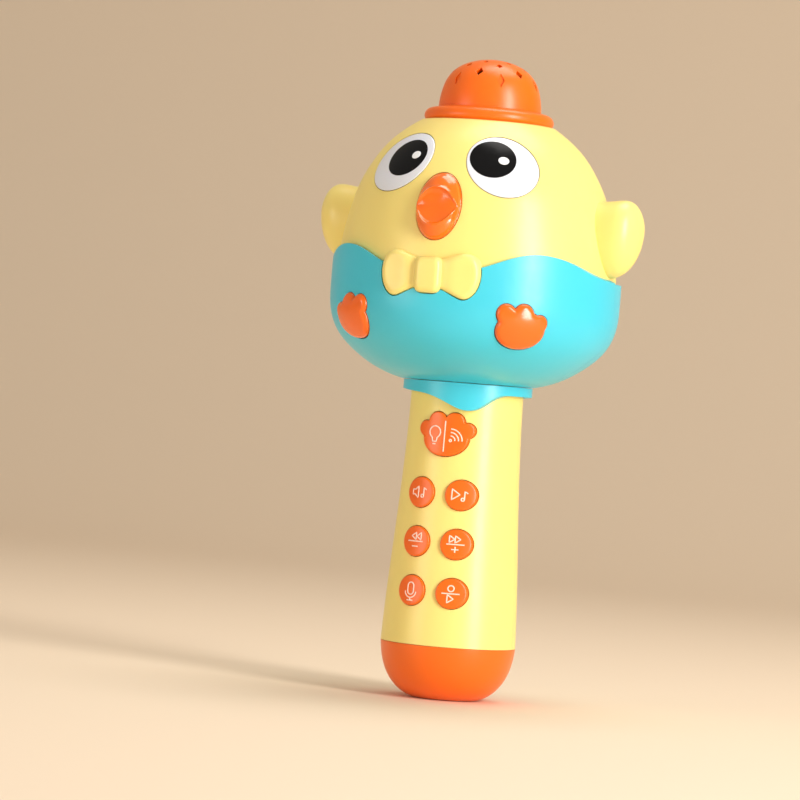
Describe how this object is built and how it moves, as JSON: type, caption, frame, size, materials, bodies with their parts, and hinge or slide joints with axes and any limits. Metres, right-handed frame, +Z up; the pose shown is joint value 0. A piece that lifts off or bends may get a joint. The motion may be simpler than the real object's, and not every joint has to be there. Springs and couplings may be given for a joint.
{
  "type": "toy microphone",
  "caption": "Hand-held rechargeable toy singing microphone with a bird-shaped head, press buttons on the handle and a pierced hat grille.",
  "frame": {"origin": "middle of the flat underside of the base cap, on the surface it stands on", "axes": "+Z up along the handle to the hat, the face and buttons look along -Y, +X to the viewer's right when facing them"},
  "size_m": [0.127, 0.1111, 0.24],
  "materials": {
    "yellow_plastic": "fine satin moulding",
    "teal_plastic": "fine satin moulding",
    "orange_plastic": "fine satin moulding",
    "orange_key_plastic": "satin, printed with pale icons",
    "orange_gloss_plastic": "polished",
    "white_plastic": "polished, black pupil printed on it",
    "screw_steel": "zinc plated",
    "board_laminate": "solder mask",
    "black_resin": "moulded resin",
    "battery_sleeve": "shrink film",
    "black_plastic": "moulded",
    "socket_steel": "nickel plated",
    "speaker_steel": "satin",
    "speaker_ferrite": "sintered",
    "speaker_paper": "pressed pulp",
    "grey_foam": "open cell",
    "capsule_metal": "satin",
    "black_rubber": "moulded"
  },
  "bodies": {
    "microphone": {"handle_front_shell": "yellow_plastic", "handle_rear_shell": "yellow_plastic", "head_front_shell": "yellow_plastic", "head_rear_shell": "yellow_plastic", "left_wing": "yellow_plastic", "right_wing": "yellow_plastic", "bowl_front_shell": "teal_plastic", "bowl_rear_shell": "teal_plastic", "neck_collar": "teal_plastic", "base_cap": "orange_plastic", "hat_grille": "orange_plastic", "left_foot": "orange_plastic", "right_foot": "orange_plastic", "board_screws": "screw_steel", "bowl_screws": "screw_steel", "handle_screws": "screw_steel", "head_screws": "screw_steel", "beak": "orange_gloss_plastic", "left_eye": "white_plastic", "right_eye": "white_plastic", "main_board": "board_laminate", "socket_board": "board_laminate", "circuit_chips": "black_resin", "tactile_switches": "black_resin", "battery_cell": "battery_sleeve", "battery_cradle": "black_plastic", "charging_socket": "socket_steel", "speaker_frame": "speaker_steel", "speaker_magnet": "speaker_ferrite", "speaker_cone": "speaker_paper", "mic_foam": "grey_foam", "mic_capsule": "capsule_metal", "mic_holder": "black_rubber"},
    "low_left_key": {"low_left_button": "orange_key_plastic"},
    "low_right_key": {"low_right_button": "orange_key_plastic"},
    "middle_left_key": {"middle_left_button": "orange_key_plastic"},
    "middle_right_key": {"middle_right_button": "orange_key_plastic"},
    "high_left_key": {"high_left_button": "orange_key_plastic"},
    "high_right_key": {"high_right_button": "orange_key_plastic"},
    "mode_key": {"mode_button": "orange_key_plastic"}
  },
  "joints": [
    {"name": "low_left_press", "type": "slide", "parent": "microphone", "child": "low_left_key", "axis": [0, 1, 0], "range_m": [0, 0.0008], "stiffness_N_per_m": 400},
    {"name": "low_right_press", "type": "slide", "parent": "microphone", "child": "low_right_key", "axis": [0, 1, 0], "range_m": [0, 0.0008], "stiffness_N_per_m": 400},
    {"name": "middle_left_press", "type": "slide", "parent": "microphone", "child": "middle_left_key", "axis": [0, 1, 0], "range_m": [0, 0.0008], "stiffness_N_per_m": 400},
    {"name": "middle_right_press", "type": "slide", "parent": "microphone", "child": "middle_right_key", "axis": [0, 1, 0], "range_m": [0, 0.0008], "stiffness_N_per_m": 400},
    {"name": "high_left_press", "type": "slide", "parent": "microphone", "child": "high_left_key", "axis": [0, 1, 0], "range_m": [0, 0.0008], "stiffness_N_per_m": 400},
    {"name": "high_right_press", "type": "slide", "parent": "microphone", "child": "high_right_key", "axis": [0, 1, 0], "range_m": [0, 0.0008], "stiffness_N_per_m": 400},
    {"name": "mode_press", "type": "slide", "parent": "microphone", "child": "mode_key", "axis": [0, 1, 0], "range_m": [0, 0.0008], "stiffness_N_per_m": 400}
  ]
}
